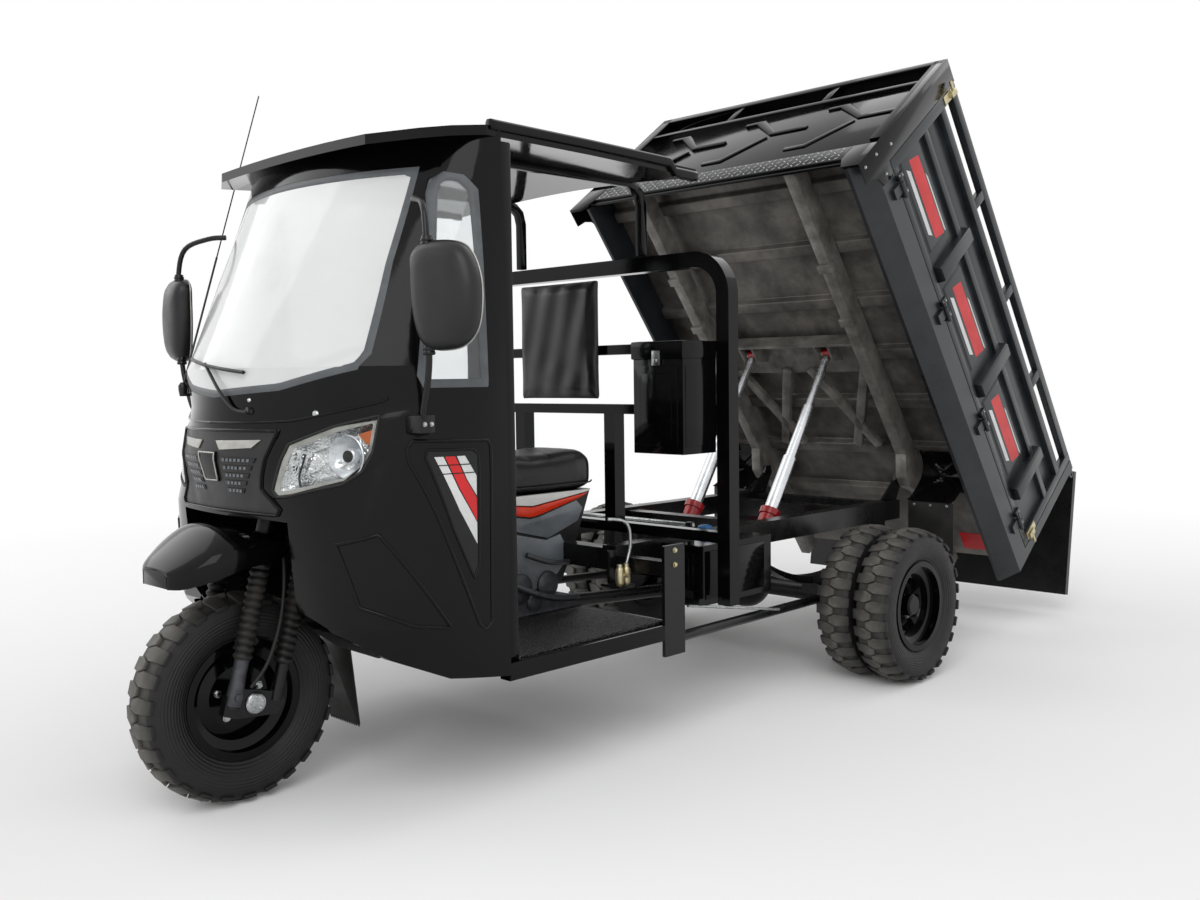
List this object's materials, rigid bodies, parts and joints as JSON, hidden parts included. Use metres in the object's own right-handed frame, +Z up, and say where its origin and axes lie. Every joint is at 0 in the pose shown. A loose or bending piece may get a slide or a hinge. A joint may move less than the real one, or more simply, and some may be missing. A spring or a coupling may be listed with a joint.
{
  "type": "cargo auto rickshaw with a tipping bed",
  "caption": "Black cargo three-wheeler with an open cab, a windscreen and roof, twin rear tyres and a raised tipping bed with drop sides.",
  "frame": {"origin": "centre of the footprint of the bounding box, on the ground", "axes": "+Z up, -Y towards the front of the vehicle, +X towards its left side"},
  "size_m": [1.642, 4.2571, 2.3632],
  "materials": {
    "gloss_black_paint": "gloss",
    "satin_black_frame": "satin",
    "dark_grey_bed": "satin",
    "tyre_rubber": "matte",
    "clear_glass": "clear",
    "lamp_lens": "clear",
    "black_plastic": "matte",
    "black_vinyl": "grained",
    "flap_rubber": "matte",
    "cast_metal": "cast",
    "hoist_red": "gloss",
    "hoist_chrome": "polished"
  },
  "bodies": {
    "chassis": {"cab_roof": "gloss_black_paint", "windshield": "clear_glass", "quarter_windows": "clear_glass", "headlamps": "lamp_lens", "grille": "black_plastic", "cab_nose": "gloss_black_paint", "windshield_frame": "gloss_black_paint", "cab_side_left": "gloss_black_paint", "cab_side_right": "gloss_black_paint", "chassis_frame": "satin_black_frame", "inner_guard": "satin_black_frame", "cab_frame": "satin_black_frame", "portal_frame": "satin_black_frame", "floor_pan": "satin_black_frame", "seat_body": "black_plastic", "engine_block": "cast_metal", "seat_cushion": "black_vinyl", "backrest": "black_vinyl", "toolbox": "satin_black_frame", "side_boxes": "satin_black_frame", "rear_axle": "satin_black_frame", "leaf_springs": "satin_black_frame", "drive_shaft": "satin_black_frame", "mirrors": "black_plastic"},
    "fork": {"front_fork": "satin_black_frame", "handlebar": "satin_black_frame", "front_fender": "gloss_black_paint"},
    "front_wheel": {"front_tyre": "tyre_rubber", "front_rim": "gloss_black_paint"},
    "left_wheels": {"tyres_left": "tyre_rubber", "rims_left": "gloss_black_paint"},
    "right_wheels": {"tyres_right": "tyre_rubber", "rims_right": "gloss_black_paint"},
    "bed": {"bed_floor": "dark_grey_bed", "bed_rails": "dark_grey_bed", "hoist_beam": "dark_grey_bed", "headboard": "satin_black_frame", "bed_sills": "satin_black_frame", "mudguards": "flap_rubber"},
    "left_side": {"side_left": "satin_black_frame"},
    "right_side": {"side_right": "satin_black_frame"},
    "tailgate": {"tailgate": "satin_black_frame"},
    "barrels": {"hoist_barrels": "hoist_red"},
    "stage_1": {"hoist_stage_1": "hoist_chrome"},
    "stage_2": {"hoist_stage_2": "hoist_chrome"},
    "rods": {"hoist_rods": "hoist_chrome"}
  },
  "joints": [
    {"name": "steering", "type": "hinge", "parent": "chassis", "child": "fork", "pos_m": [0, -1.7525, 0.65], "axis": [0, 0.2504, 0.9681], "range_deg": [-38, 38]},
    {"name": "front_wheel_spin", "type": "hinge", "parent": "fork", "child": "front_wheel", "pos_m": [0, -1.8405, 0.288], "axis": [1, 0, 0], "continuous": true},
    {"name": "left_wheels_spin", "type": "hinge", "parent": "chassis", "child": "left_wheels", "pos_m": [0.7, 0.4775, 0.288], "axis": [1, 0, 0], "continuous": true},
    {"name": "right_wheels_spin", "type": "hinge", "parent": "chassis", "child": "right_wheels", "pos_m": [-0.7, 0.4775, 0.288], "axis": [1, 0, 0], "continuous": true},
    {"name": "bed_tilt", "type": "hinge", "parent": "chassis", "child": "bed", "pos_m": [0, 1.1075, 0.7], "axis": [-1, 0, 0], "range_deg": [-52.9, 0]},
    {"name": "left_side_fold", "type": "hinge", "parent": "bed", "child": "left_side", "pos_m": [0.735, 0.45711, 1.8418], "axis": [0, 0.6032, -0.7976], "range_deg": [0, 100]},
    {"name": "right_side_fold", "type": "hinge", "parent": "bed", "child": "right_side", "pos_m": [-0.735, 0.45711, 1.8418], "axis": [0, -0.6032, 0.7976], "range_deg": [0, 100]},
    {"name": "tailgate_swing", "type": "hinge", "parent": "bed", "child": "tailgate", "pos_m": [0, 2.06785, 0.66526], "axis": [1, 0, 0], "range_deg": [-44.9, 40]},
    {"name": "barrel_swing", "type": "hinge", "parent": "chassis", "child": "barrels", "pos_m": [0, 0.2435, 0.401], "axis": [1, 0, 0], "range_deg": [-1, 1]},
    {"name": "stage_1_slide", "type": "slide", "parent": "barrels", "child": "stage_1", "axis": [0, 0.5509, 0.8345], "range_m": [-0.1855, 0.0003]},
    {"name": "stage_2_slide", "type": "slide", "parent": "stage_1", "child": "stage_2", "axis": [0, 0.5509, 0.8345], "range_m": [-0.1855, 0.0003]},
    {"name": "rod_slide", "type": "slide", "parent": "stage_2", "child": "rods", "axis": [0, 0.5509, 0.8345], "range_m": [-0.1855, 0.0003]}
  ],
  "couplings": [
    {"joint": "barrel_swing", "follows": "bed_tilt", "ratio": -0.010076},
    {"joint": "stage_1_slide", "follows": "bed_tilt", "m_per_rad": 0.20059},
    {"joint": "stage_2_slide", "follows": "bed_tilt", "m_per_rad": 0.20059},
    {"joint": "rod_slide", "follows": "bed_tilt", "m_per_rad": 0.20059}
  ]
}
